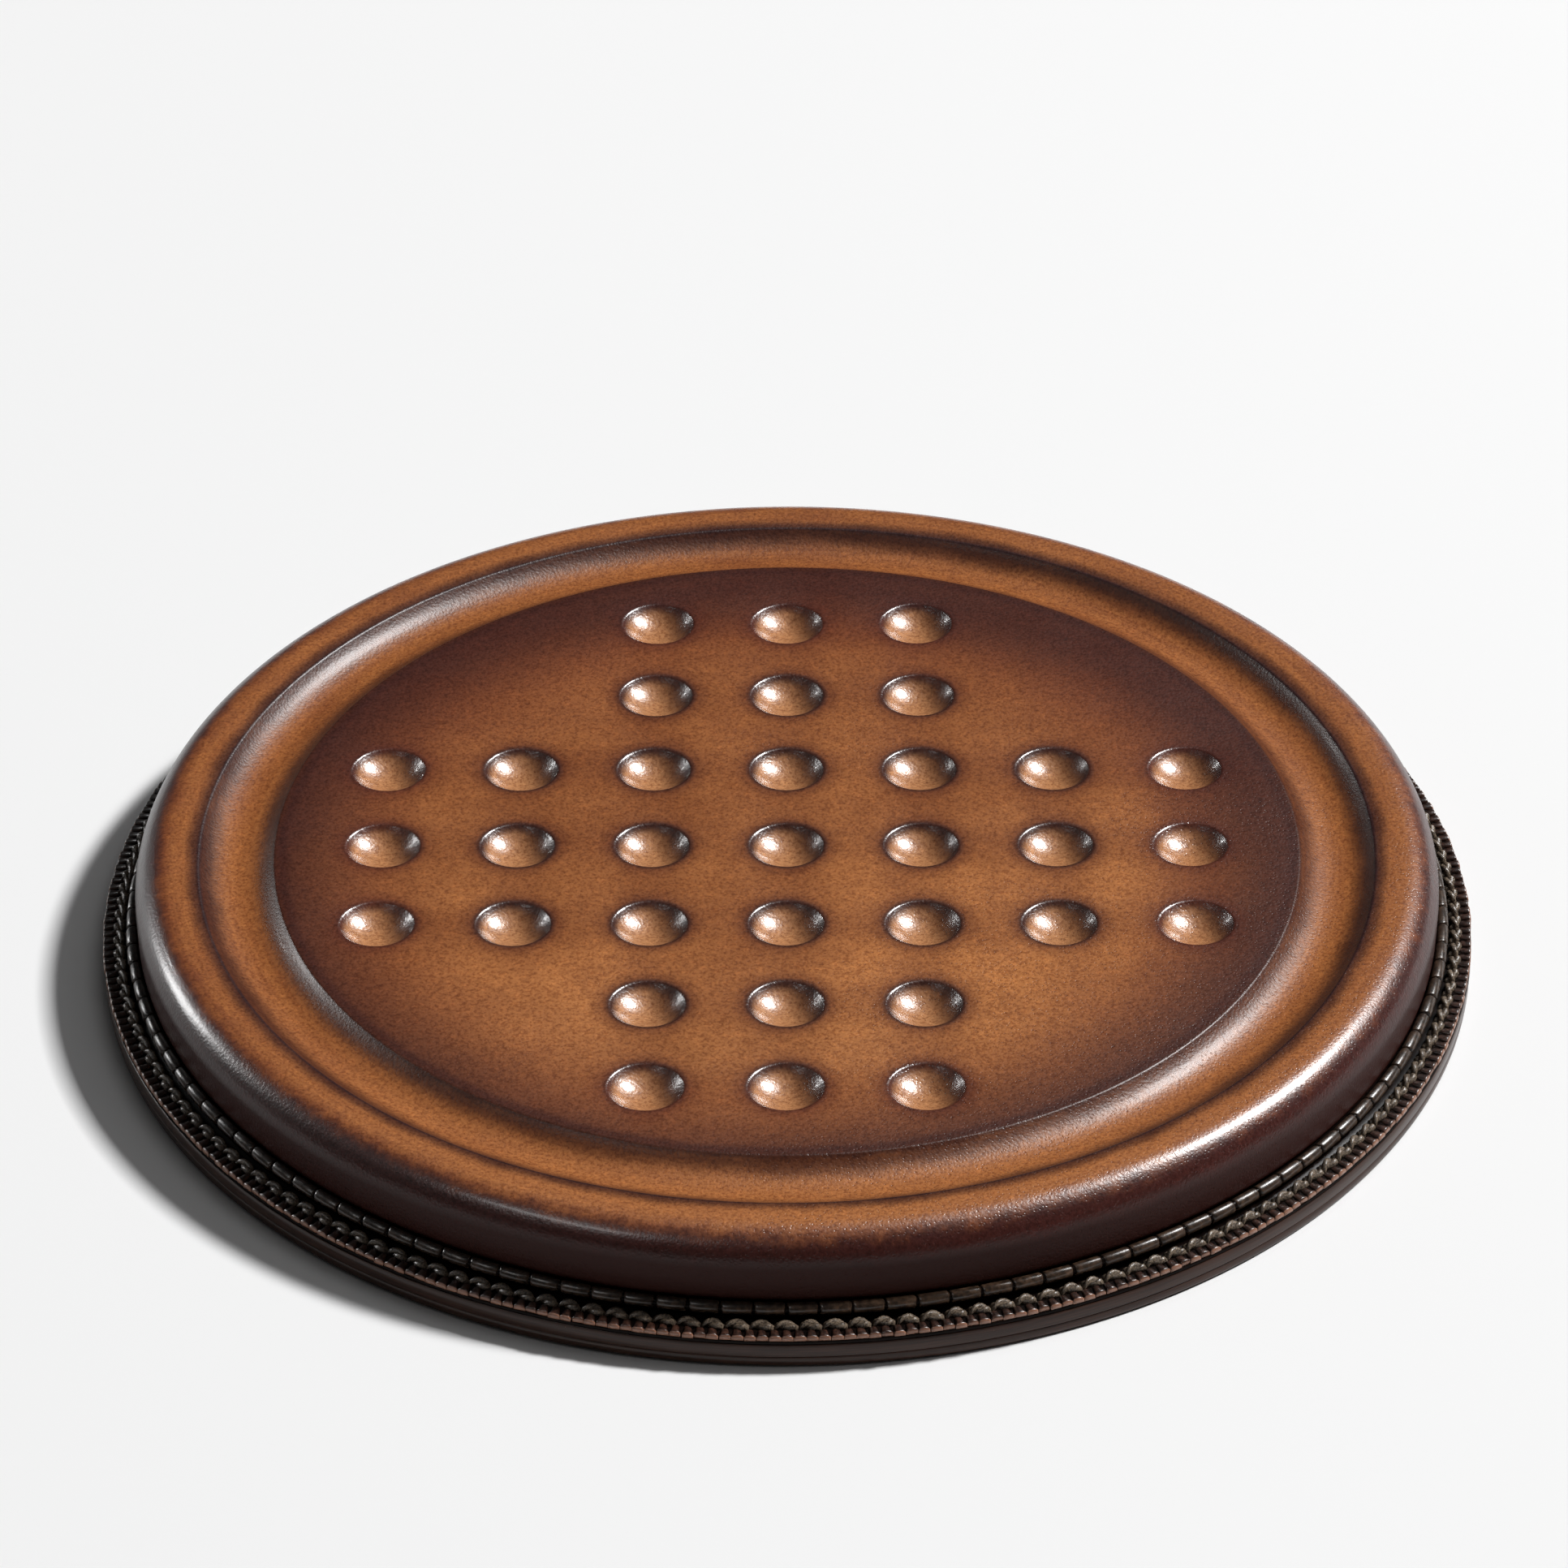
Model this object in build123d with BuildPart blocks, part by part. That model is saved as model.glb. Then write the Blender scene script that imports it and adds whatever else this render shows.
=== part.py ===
"""Leather-covered marble solitaire board, lasted and welted like a shoe.

Millimetres, +Z up. The origin is on the floor under the centre of the board.
"""

from build123d import *
import math
import os

# Marbles and playing field
marble_diameter = 23.0
marble_ease = 0.3  # the hollows' ball is this much larger in radius
finger_room = 6.4  # gap between neighbouring marbles
holes_across = 7
arm_holes = 3  # width of the cross's arms
hollow_depth = 3.3
disc_margin = 23.65  # centre of the outermost hollow to the disc's edge

# Moulded cover
board_height = 26.0  # floor to the crown of the rim
cover_thickness = 1.8
gutter_depth = 3.2
rim_rise = 0.6  # the rim's crown stands this far above the disc
seat_flank = 0.7  # the core's pockets are this much wider than the hollows
seat_slope = 38.0  # degrees, their flanks off the level
seat_sides = 8
gutter_flank = 30.0  # degrees off the level, flanks of the core's groove under the gutter
rim_width = 13.1  # gutter to the fullest part of the wall
rim_shoulder = 5.6  # rounding from the rim's crown to the wall
wall_flare = 1.2  # the wall's foot stands this far outside its top
foot_round = 2.0  # where the wall turns under
margin_width = 16.0  # leather lasted in under the insole

# Sole, from the floor up
outsole_thickness = 2.5
midsole_thickness = 3.2
welt_thickness = 2.1
rand_thickness = 2.2
insole_thickness = 2.4
insole_gap = 0.3  # the insole's edge to the cover's wall
sole_bulge = 0.8  # the burnished edge is fullest in the middle
sole_corner = 0.7  # rounding at the floor
welt_reach = 12.0  # rand and welt reach this far in under the wall

# Notched bead of the rand
bead_width = 2.4
bead_height = 1.45
bead_flank = 0.55  # share of the height below the crown's slope
bead_crown = 0.3  # share of the width each slope takes
ledge_width = 0.45
bead_notches = 134
notch_width = 1.0
notch_depth = 0.6
notch_slant = 25.0  # degrees off the radius

# Seams
stitch_length = 4.2
stitch_spacing = 0.8  # end of one stitch to the start of the next
stitch_thread = 1.5
stitch_rise = 0.75
stitch_taper = 14.0  # degrees, the crowned thread's flanks
stitch_slant = 5.0  # degrees off the seam's line
stitch_inset = 3.1  # welt's upper edge to the middle of the stitches
stitch_gap = 0.2  # rand's edge to the stitches
groove_ease = 0.1  # groove's walls to the stitches
groove_depth = 0.4
inseam_count = 88
inseam_thread = 1.0
inseam_length = 6.5
channel_width = 1.6
seam_line = 0.5  # closed channel under the outsole
seam_depth = 0.3

# Tacks
tack_count = 16
tack_shank = 1.2
tack_cover = 1.2  # wood left over each point, under the gutter
tack_head = 4.0
tack_head_thickness = 0.5
tack_inset = 6.0  # margin's inner edge in to the circle of tacks

# Worked out from the sizes above
ball_radius = marble_diameter / 2 + marble_ease
hollow_pitch = marble_diameter + finger_room
disc_radius = (holes_across - 1) / 2 * hollow_pitch + disc_margin
gutter_half = math.sqrt(ball_radius**2 - (ball_radius - gutter_depth) ** 2)
gutter_radius = disc_radius + gutter_half
rim_radius = disc_radius + 2 * gutter_half
wall_radius = rim_radius + rim_width
foot_radius = wall_radius + wall_flare

midsole_level = outsole_thickness
welt_level = midsole_level + midsole_thickness
rand_level = welt_level + welt_thickness
margin_level = rand_level + rand_thickness
insole_level = margin_level + cover_thickness
core_level = insole_level + insole_thickness
disc_level = board_height - rim_rise
ball_level = disc_level - hollow_depth + ball_radius

margin_edge = foot_radius - margin_width
welt_inner = foot_radius - welt_reach
bead_inner = foot_radius
bead_outer = bead_inner + bead_width
rand_edge = bead_outer + ledge_width
slant = math.radians(stitch_slant)
stitch_sweep = (stitch_thread * math.cos(slant) + stitch_length * math.sin(slant)) / 2
stitch_radius = rand_edge + stitch_gap + stitch_sweep
stitch_count = round(2 * math.pi * stitch_radius / (stitch_length + stitch_spacing))
welt_edge = stitch_radius + stitch_inset
sole_radius = welt_edge + sole_bulge
inseam_radius = welt_inner + welt_reach / 2
tack_radius = margin_edge - tack_inset

hollow_radius = math.sqrt(ball_radius**2 - (ball_radius - hollow_depth) ** 2)
seat_rim = hollow_radius + seat_flank
core_top = disc_level - cover_thickness

insole_radius = wall_radius - cover_thickness - insole_gap
gutter_floor = disc_level - gutter_depth - cover_thickness
tack_length = gutter_floor - tack_cover - insole_level
groove_inner = stitch_radius - stitch_sweep - groove_ease
groove_outer = stitch_radius + stitch_sweep + groove_ease
channel_inner = inseam_radius - channel_width / 2
channel_outer = inseam_radius + channel_width / 2
seam_inner = stitch_radius - seam_line / 2
seam_outer = stitch_radius + seam_line / 2

half_holes = holes_across // 2
half_arm = arm_holes // 2
hollows = [
    (column * hollow_pitch, row * hollow_pitch)
    for row in range(-half_holes, half_holes + 1)
    for column in range(-half_holes, half_holes + 1)
    if abs(row) <= half_arm or abs(column) <= half_arm
]


def ring_profile(inner, outer, bottom, top):
    """A rectangle of the XZ plane, for a flat ring or a disc round Z."""
    with Locations(((inner + outer) / 2, (bottom + top) / 2)):
        Rectangle(outer - inner, top - bottom)


def cover_outline():
    """Half section of the cover's outside, from the centre out and down to the margin."""
    centre_level = disc_level - gutter_depth + ball_radius
    low_side = math.sqrt(ball_radius**2 - (centre_level - disc_level) ** 2)
    high_side = math.sqrt(ball_radius**2 - (centre_level - board_height) ** 2)
    with BuildLine() as outline:
        Polyline((0, margin_level), (0, disc_level), (gutter_radius - low_side, disc_level))
        ThreePointArc(
            (gutter_radius - low_side, disc_level),
            (gutter_radius, centre_level - ball_radius),
            (gutter_radius + high_side, board_height),
        )
        Polyline(
            (gutter_radius + high_side, board_height),
            (wall_radius, board_height),
            (foot_radius, margin_level),
            (0, margin_level),
        )
    make_face(outline.edges())


def core_outline():
    """Half section of the turned form inside the leather, all straight cuts.

    The groove's floor and flanks are tangents to the gutter's arc, one leather below it.
    """
    arc_radius = ball_radius + cover_thickness
    crown = board_height - cover_thickness
    centre_level = disc_level - gutter_depth + ball_radius
    flank = math.radians(gutter_flank)
    floor_half = arc_radius * math.tan(flank / 2)
    low_half = floor_half + (core_top - gutter_floor) / math.tan(flank)
    high_half = floor_half + (crown - gutter_floor) / math.tan(flank)
    with BuildLine() as outline:
        Polyline(
            (0, insole_level),
            (0, core_top),
            (gutter_radius - low_half, core_top),
            (gutter_radius - floor_half, gutter_floor),
            (gutter_radius + floor_half, gutter_floor),
            (gutter_radius + high_half, crown),
            (wall_radius - cover_thickness, crown),
            (foot_radius - cover_thickness, insole_level),
            (0, insole_level),
        )
    make_face(outline.edges())


def outer_shoulder(profile):
    """The rim's corner of a half section."""
    return profile.vertices().sort_by(Axis.Y)[-2:].sort_by(Axis.X)[-1]


# Inside of the moulded leather: core and insole together, with a pocket for each hollow
with BuildPart() as inner_form:
    with BuildSketch(Plane.XZ) as inner_profile:
        core_outline()
        chamfer(outer_shoulder(inner_profile), (rim_shoulder - cover_thickness) * (2 - math.sqrt(2)))
    revolve(axis=Axis.Z)
    with BuildSketch(Plane.XY.offset(core_top)):
        with Locations(hollows):
            RegularPolygon(seat_rim, seat_sides, major_radius=False)
    extrude(amount=-hollow_depth, taper=90 - seat_slope, mode=Mode.SUBTRACT)

# Moulded cover: one leather over disc, hollows, gutter, rim and wall, lasted in underneath
with BuildPart() as leather_cover:
    with BuildSketch(Plane.XZ) as cover_profile:
        cover_outline()
        fillet(outer_shoulder(cover_profile), rim_shoulder)
        foot = cover_profile.vertices().filter_by(lambda v: v.X > wall_radius)
        fillet(foot.sort_by(Axis.Y)[0], foot_round)
    revolve(axis=Axis.Z)
    with Locations([(x, y, ball_level) for x, y in hollows]):
        Sphere(ball_radius, mode=Mode.SUBTRACT)
    add(inner_form.part, mode=Mode.SUBTRACT)
    with BuildSketch(Plane.XZ):
        ring_profile(0, margin_edge, margin_level, insole_level)
    revolve(axis=Axis.Z, mode=Mode.SUBTRACT)
leather_cover.part.label = "leather_cover"

# Turned core: wood, with square holes from below where the tacks go in
with BuildPart() as turned_core:
    add(inner_form.part)
    with BuildSketch(Plane.XZ):
        ring_profile(0, foot_radius, insole_level, core_level)
    revolve(axis=Axis.Z, mode=Mode.SUBTRACT)
    with BuildSketch(Plane.XY.offset(core_level)):
        with PolarLocations(tack_radius, tack_count):
            Rectangle(tack_shank, tack_shank)
    extrude(amount=tack_length - insole_thickness, mode=Mode.SUBTRACT)
turned_core.part.label = "turned_core"

# Insole board: the margin is lasted over it, and the tacks go up through it
with BuildPart() as insole_board:
    with BuildSketch(Plane.XY.offset(insole_level)):
        Circle(insole_radius)
        with PolarLocations(tack_radius, tack_count):
            Rectangle(tack_shank, tack_shank, mode=Mode.SUBTRACT)
    extrude(amount=insole_thickness)
insole_board.part.label = "insole_board"

# Lasting tacks: square shanks up into the core, heads flat under the insole
with BuildPart() as lasting_tacks:
    with BuildSketch(Plane.XY.offset(insole_level)):
        with PolarLocations(tack_radius, tack_count):
            Rectangle(tack_shank, tack_shank)
    extrude(amount=tack_length)
    with BuildSketch(Plane.XY.offset(insole_level - tack_head_thickness)):
        with PolarLocations(tack_radius, tack_count):
            RegularPolygon(tack_head / 2, 8)
    extrude(amount=tack_head_thickness)
lasting_tacks.part.label = "lasting_tacks"

# Cork filler: fills the well inside the welt and the margin, with a pocket over each tack's head
with BuildPart() as cork_filler:
    with BuildSketch(Plane.XY.offset(welt_level)):
        Circle(welt_inner)
    extrude(amount=margin_level - welt_level)
    with BuildSketch(Plane.XY.offset(margin_level)):
        Circle(margin_edge)
    extrude(amount=insole_level - margin_level)
    with BuildSketch(Plane.XY.offset(insole_level - tack_head_thickness)):
        with PolarLocations(tack_radius, tack_count):
            RegularPolygon(tack_head / 2, 8)
    extrude(amount=tack_head_thickness, mode=Mode.SUBTRACT)
cork_filler.part.label = "cork_filler"

# Storm rand: a flat flange under the margin, and the notched bead in the corner of the wall
with BuildPart() as storm_rand:
    with BuildSketch(Plane.XZ):
        with BuildLine():
            Polyline(
                (welt_inner, rand_level),
                (rand_edge, rand_level),
                (rand_edge, margin_level),
                (bead_outer, margin_level),
                (bead_outer, margin_level + bead_height * bead_flank),
                (bead_outer - bead_width * bead_crown, margin_level + bead_height),
                (bead_inner + bead_width * bead_crown, margin_level + bead_height),
                (bead_inner, margin_level + bead_height * bead_flank),
                (bead_inner, margin_level),
                (welt_inner, margin_level),
                close=True,
            )
        make_face()
    revolve(axis=Axis.Z)
    notch_plane = Plane.XY.offset(margin_level + bead_height)
    with BuildSketch(notch_plane):
        with PolarLocations((bead_inner + bead_outer) / 2, bead_notches):
            with Locations(Rotation(0, 0, notch_slant)):
                Rectangle(bead_width * 2, notch_width)
    extrude(amount=-notch_depth, mode=Mode.SUBTRACT)
storm_rand.part.label = "storm_rand"

# Burnished edge of the whole sole: one gentle bulge through welt, midsole and outsole
with BuildPart() as sole_form:
    with BuildSketch(Plane.XZ) as sole_profile:
        with BuildLine():
            Polyline(
                (welt_edge, rand_level),
                (0, rand_level),
                (0, 0),
                (welt_edge, 0),
            )
            ThreePointArc((welt_edge, 0), (sole_radius, rand_level / 2), (welt_edge, rand_level))
        make_face()
        bottom_corner = sole_profile.vertices().filter_by(lambda v: v.X > 1).sort_by(Axis.Y)[0]
        fillet(bottom_corner, sole_corner)
    revolve(axis=Axis.Z)

# Welt: sewn in under the rand, with a groove that the lock-stitches lie in
with BuildPart() as welt:
    add(sole_form.part)
    with BuildSketch(Plane.XZ):
        ring_profile(0, sole_radius + 1, -1, welt_level)
        ring_profile(0, welt_inner, welt_level, rand_level + 1)
        ring_profile(groove_inner, groove_outer, rand_level - groove_depth, rand_level + 1)
        ring_profile(channel_inner, channel_outer, welt_level - 1, welt_level + inseam_thread)
    revolve(axis=Axis.Z, mode=Mode.SUBTRACT)
welt.part.label = "welt"

# Lock-stitches: thick waxed thread, each stitch crowned and laid a little askew in the groove
with BuildPart() as welt_stitches:
    with BuildSketch(Plane.XY.offset(rand_level - groove_depth)):
        with PolarLocations(stitch_radius, stitch_count):
            with Locations(Rotation(0, 0, stitch_slant)):
                Rectangle(stitch_thread, stitch_length)
    extrude(amount=groove_depth + stitch_rise, taper=stitch_taper)
welt_stitches.part.label = "welt_stitches"

# Inseam: the hidden stitches, in a channel cut in the welt's underside
with BuildPart() as inseam_stitches:
    with BuildSketch(Plane.XY.offset(welt_level)):
        with PolarLocations(inseam_radius, inseam_count):
            Rectangle(inseam_thread, inseam_length)
    extrude(amount=inseam_thread)
inseam_stitches.part.label = "inseam_stitches"

# Midsole
with BuildPart() as midsole:
    add(sole_form.part)
    with BuildSketch(Plane.XZ):
        ring_profile(0, sole_radius + 1, -1, midsole_level)
        ring_profile(0, sole_radius + 1, welt_level, rand_level + 1)
    revolve(axis=Axis.Z, mode=Mode.SUBTRACT)
midsole.part.label = "midsole"

# Outsole, with the closed channel of the seam as a fine line underneath
with BuildPart() as outsole:
    add(sole_form.part)
    with BuildSketch(Plane.XZ):
        ring_profile(0, sole_radius + 1, midsole_level, rand_level + 1)
        ring_profile(seam_inner, seam_outer, -1, seam_depth)
    revolve(axis=Axis.Z, mode=Mode.SUBTRACT)
outsole.part.label = "outsole"

pieces = (
    leather_cover,
    turned_core,
    insole_board,
    lasting_tacks,
    cork_filler,
    storm_rand,
    welt,
    welt_stitches,
    inseam_stitches,
    midsole,
    outsole,
)
os.makedirs("parts", exist_ok=True)
for piece in pieces:
    export_step(piece.part, f"parts/{piece.part.label}.step")
print(f"Board {2 * sole_radius:.1f} across and {board_height:.1f} high, {len(hollows)} hollows")
print(f"Hollows {2 * hollow_radius:.1f} across at a pitch of {hollow_pitch:.1f}")
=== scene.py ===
# %% [markdown]
# A marble solitaire board in leather, built like a welted shoe.
# One moulded cover with sunk hollows, a notched bead, a stitched welt with a wheeled edge, and a
# stacked, burnished sole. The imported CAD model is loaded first, as a fixed frame. Every piece that
# is made here takes its place from that frame, in metres.

import math
from types import SimpleNamespace

import bmesh
import bpy
from mathutils import Matrix, Vector


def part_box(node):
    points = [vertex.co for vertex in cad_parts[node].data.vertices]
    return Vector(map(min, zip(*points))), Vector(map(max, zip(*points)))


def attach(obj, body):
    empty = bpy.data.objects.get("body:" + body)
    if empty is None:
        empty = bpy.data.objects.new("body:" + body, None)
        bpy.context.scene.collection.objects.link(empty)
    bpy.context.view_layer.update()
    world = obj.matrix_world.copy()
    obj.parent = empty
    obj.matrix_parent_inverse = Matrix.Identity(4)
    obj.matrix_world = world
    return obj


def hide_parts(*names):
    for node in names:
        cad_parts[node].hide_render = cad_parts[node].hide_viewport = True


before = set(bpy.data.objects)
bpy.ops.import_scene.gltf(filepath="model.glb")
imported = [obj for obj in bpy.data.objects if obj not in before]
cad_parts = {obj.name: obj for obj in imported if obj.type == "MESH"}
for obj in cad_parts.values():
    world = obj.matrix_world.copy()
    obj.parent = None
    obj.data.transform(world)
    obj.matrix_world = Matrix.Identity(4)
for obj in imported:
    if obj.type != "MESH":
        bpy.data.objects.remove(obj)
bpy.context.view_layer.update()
scene = bpy.context.scene

# %% [markdown]
# The levels and radii of the big pieces are read from the CAD nodes. What a box can't say, such as
# the pitch of the hollows or the ball they are cut with, is a named value in metres.

# %% Sizes that are chosen
MM = 0.001
MARBLE_BALL = 11.8 * MM
HOLLOW_PITCH = 29.4 * MM
HOLLOW_DEPTH = 3.3 * MM
HOLLOW_LIP = 1.1 * MM
DISC_MARGIN = 23.65 * MM
GUTTER_DEPTH = 3.2 * MM
RIM_RISE = 0.6 * MM
RIM_SHOULDER = 7.4 * MM
WALL_SWELL = 0.2 * MM
LEATHER = 1.8 * MM
MARGIN_WIDTH = 16 * MM
FLANGE_REACH = 12 * MM

# %% Sizes that follow from the frame
cover_low, cover_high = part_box("leather_cover")
welt_low, welt_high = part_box("welt")
midsole_low, midsole_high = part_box("midsole")
outsole_low, outsole_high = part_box("outsole")
stitch_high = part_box("welt_stitches")[1]

CROWN = cover_high.z
DISC = CROWN - RIM_RISE
MARGIN = cover_low.z
FOOT_RADIUS = cover_high.x
WALL_RADIUS = FOOT_RADIUS + WALL_SWELL
DISC_RADIUS = 3 * HOLLOW_PITCH + DISC_MARGIN
GUTTER_HALF = math.sqrt(MARBLE_BALL**2 - (MARBLE_BALL - GUTTER_DEPTH) ** 2)
GUTTER_RADIUS = DISC_RADIUS + GUTTER_HALF
RIM_START = DISC_RADIUS + 2 * GUTTER_HALF
SHOULDER_START = WALL_RADIUS - RIM_SHOULDER
BALL_LEVEL = DISC - GUTTER_DEPTH + MARBLE_BALL
print(f"Disc {DISC_RADIUS / MM:.1f}, gutter {GUTTER_RADIUS / MM:.1f}, wall {WALL_RADIUS / MM:.1f}")

# %% [markdown]
# Colours are written as the eye reads them, from 0 to 255, and turned into the linear values
# that a shader wants.


# %% Colour helper
def dye(red, green, blue):
    """A colour as seen on a screen, as the linear value of a shader, with its alpha."""
    linear = []
    for part in (red, green, blue):
        share = part / 255
        linear.append(share / 12.92 if share <= 0.04045 else ((share + 0.055) / 1.055) ** 2.4)
    return (*linear, 1.0)


# %% [markdown]
# A small bench for shaders. Each method adds one node and returns its output, so that a recipe
# reads from top to bottom. Uniform values are set on the shader's own sockets, never through a node.


# %% Shader bench
class Bench:
    def __init__(self, name, roughness, specular=0.5, coat=0.0, coat_roughness=0.2):
        self.material = bpy.data.materials.new(name)
        self.material.use_nodes = True
        self.tree = self.material.node_tree
        self.shader = self.tree.nodes["Principled BSDF"]
        self.shader.inputs["Roughness"].default_value = roughness
        self.shader.inputs["Specular IOR Level"].default_value = specular
        self.shader.inputs["Coat Weight"].default_value = coat
        self.shader.inputs["Coat Roughness"].default_value = coat_roughness
        self.place = self.node("ShaderNodeTexCoord").outputs["Object"]

    def node(self, kind, **settings):
        made = self.tree.nodes.new(kind)
        for key, value in settings.items():
            setattr(made, key, value)
        return made

    def plug(self, value, socket):
        if isinstance(value, bpy.types.NodeSocket):
            self.tree.links.new(value, socket)
        else:
            socket.default_value = value

    def math(self, operation, *values):
        made = self.node("ShaderNodeMath", operation=operation)
        for value, socket in zip(values, made.inputs):
            self.plug(value, socket)
        return made.outputs[0]

    def times(self, first, *others):
        """The product of two or more values."""
        product = first
        for other in others:
            product = self.math("MULTIPLY", product, other)
        return product

    def length(self, x, y):
        """The distance from the axis to a point x, y."""
        return self.math("SQRT", self.math("ADD", self.times(x, x), self.times(y, y)))

    def swing(self, noise, width):
        """Noise as a swing of that width about zero."""
        return self.times(self.math("SUBTRACT", noise, 0.5), width)

    def fade(self, value, start, end, low=0.0, high=1.0):
        """Goes smoothly from low to high while value goes from start to end."""
        made = self.node("ShaderNodeMapRange", interpolation_type="SMOOTHSTEP")
        for item, name in (
            (value, "Value"),
            (start, "From Min"),
            (end, "From Max"),
            (low, "To Min"),
            (high, "To Max"),
        ):
            self.plug(item, made.inputs[name])
        return made.outputs["Result"]

    def mix(self, share, first, second, blend="MIX"):
        made = self.node("ShaderNodeMix", data_type="RGBA", blend_type=blend)
        self.plug(share, made.inputs["Factor"])
        self.plug(first, made.inputs[6])
        self.plug(second, made.inputs[7])
        return made.outputs[2]

    def noise(self, scale, detail=2.0, rough=0.5, place=None):
        made = self.node("ShaderNodeTexNoise")
        self.plug(place or self.place, made.inputs["Vector"])
        self.plug(scale, made.inputs["Scale"])
        self.plug(detail, made.inputs["Detail"])
        self.plug(rough, made.inputs["Roughness"])
        return made.outputs["Fac"]

    def cells(self, scale):
        """The distance to the nearest of many scattered points."""
        made = self.node("ShaderNodeTexVoronoi")
        self.plug(self.place, made.inputs["Vector"])
        self.plug(scale, made.inputs["Scale"])
        return made.outputs["Distance"]

    def parts(self):
        """The place on the board as x, y and z."""
        made = self.node("ShaderNodeSeparateXYZ")
        self.plug(self.place, made.inputs[0])
        return made.outputs[0], made.outputs[1], made.outputs[2]

    def vector(self, x, y, z):
        made = self.node("ShaderNodeCombineXYZ")
        for value, socket in zip((x, y, z), made.inputs):
            self.plug(value, socket)
        return made.outputs[0]

    def bump(self, height, depth, strength=1.0, under=None):
        made = self.node("ShaderNodeBump")
        made.inputs["Strength"].default_value = strength
        made.inputs["Distance"].default_value = depth
        self.plug(height, made.inputs["Height"])
        if under is not None:
            self.plug(under, made.inputs["Normal"])
        return made.outputs["Normal"]

    def finish(self, colour, roughness=None, normal=None):
        self.plug(colour, self.shader.inputs["Base Color"])
        if roughness is not None:
            self.plug(roughness, self.shader.inputs["Roughness"])
        if normal is not None:
            self.plug(normal, self.shader.inputs["Normal"])
        return self.material


# %% [markdown]
# The patina, with painted light and shade over it. On the real cover the dye is rubbed on by hand:
# tan in the open fields, burgundy towards the disc's edge, a dark soft ring round every hollow, a thin
# dark line where the leather turns over an edge, and almost black on the wall. Over the dye go painted
# shade on the gutter's walls and in its creases, painted shade on the right and far walls of each
# hollow and just below its lip, and painted light on its left wall. All of that follows the board's
# own shape, so the recipe measures the distance from the middle and from the nearest hollow, and
# shakes both with noise so that no border is drawn with a compass. The first helper takes those
# measures. Each of the next ones lays one coat over the colour it is given, in the order a hand would;
# most coats are dye, and the others are painted light and shade.


# %% Measures that the coats of dye share
def board_measures(b):
    x, y, z = b.parts()
    radius = b.length(x, y)
    return SimpleNamespace(
        x=x,
        y=y,
        z=z,
        radius=radius,
        broad=b.noise(22.0, 3.0, 0.55),
        cloud=b.noise(75.0, 4.0, 0.6),
        speck=b.noise(1350.0, 2.0, 0.6),
        on_disc=b.math("LESS_THAN", radius, DISC_RADIUS),
        outer=b.math("GREATER_THAN", radius, SHOULDER_START - 3.95 * MM),
    )


# %% [markdown]
# The hollows stand on a square grid, so one folded cell serves all thirty-three: u and v run from
# -0.5 to 0.5 across a pitch, and the cross says where the fold holds.


# %% Distance to the nearest hollow
def hollow_measures(b, at):
    def folded(value):
        shifted = b.math("ADD", b.math("DIVIDE", value, HOLLOW_PITCH), 0.5)
        return b.math("SUBTRACT", b.math("FRACT", shifted), 0.5)

    at.u, at.v = folded(at.x), folded(at.y)
    at.reach = b.length(at.u, at.v)
    sideways, lengthways = b.math("ABSOLUTE", at.x), b.math("ABSOLUTE", at.y)
    narrow = b.math("MINIMUM", sideways, lengthways)
    wide = b.math("MAXIMUM", sideways, lengthways)
    at.in_cross = b.times(
        b.math("LESS_THAN", narrow, 1.5 * HOLLOW_PITCH),
        b.math("LESS_THAN", wide, 3.5 * HOLLOW_PITCH),
    )
    at.well_in = b.times(
        b.fade(narrow, 1.2 * HOLLOW_PITCH, 1.5 * HOLLOW_PITCH, 1.0, 0.0),
        b.fade(wide, 3.2 * HOLLOW_PITCH, 3.5 * HOLLOW_PITCH, 1.0, 0.0),
    )
    at.lip = b.times(b.fade(at.reach, 0.275, 0.33, 1.0, 0.0), at.in_cross)


# %% Tan ground, paler at the front and deeper at the back
def tan_ground(b, at):
    tan = b.mix(b.fade(at.broad, 0.38, 0.62), dye(146, 87, 45), dye(182, 116, 64))
    tan = b.mix(b.fade(at.cloud, 0.36, 0.68, 0.0, 0.8), tan, dye(156, 95, 50))
    tan = b.mix(b.fade(at.y, -85 * MM, -30 * MM, 0.34, 0.0), tan, dye(190, 126, 74))
    return b.mix(b.fade(at.y, -20 * MM, 60 * MM, 0.0, 0.5), tan, dye(124, 66, 32))


# %% Lanes between the hollows, a soft ring round each, and a dark line on its lip
def hollow_rings(b, at, colour):
    line = b.math("MINIMUM", b.math("ABSOLUTE", at.u), b.math("ABSOLUTE", at.v))
    lanes = b.times(b.fade(line, 0.05, 0.42, 1.0, 0.0), at.well_in)
    shaken_reach = b.math("ADD", at.reach, b.swing(at.cloud, 0.10))
    halo = b.times(b.fade(shaken_reach, 0.27, 0.45, 1.0, 0.0), at.in_cross)
    colour = b.mix(b.times(lanes, 0.30), colour, dye(112, 58, 28))
    colour = b.mix(b.times(halo, 0.66), colour, dye(88, 40, 22))
    # The dark line on the lip is partly dye and partly painted shade on the hollow's wall just below
    # the lip.
    return b.mix(b.times(at.lip, 0.80), colour, dye(46, 20, 20))


# %% Burgundy towards the disc's edge, a little sooner on the far side
def disc_edge(b, at, colour):
    shaken = b.math("ADD", at.radius, b.swing(at.broad, 16 * MM))
    lean = b.times(b.math("ADD", b.times(at.x, 0.3), at.y), 0.07)
    edge_way = b.math("ADD", shaken, lean)
    ruddy = b.times(b.fade(edge_way, 68 * MM, 100 * MM), at.on_disc, 0.62)
    deep = b.times(b.fade(edge_way, 83 * MM, 111 * MM), at.on_disc, 0.86)
    colour = b.mix(ruddy, colour, dye(112, 53, 30))
    return b.mix(deep, colour, dye(60, 24, 20))
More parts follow.
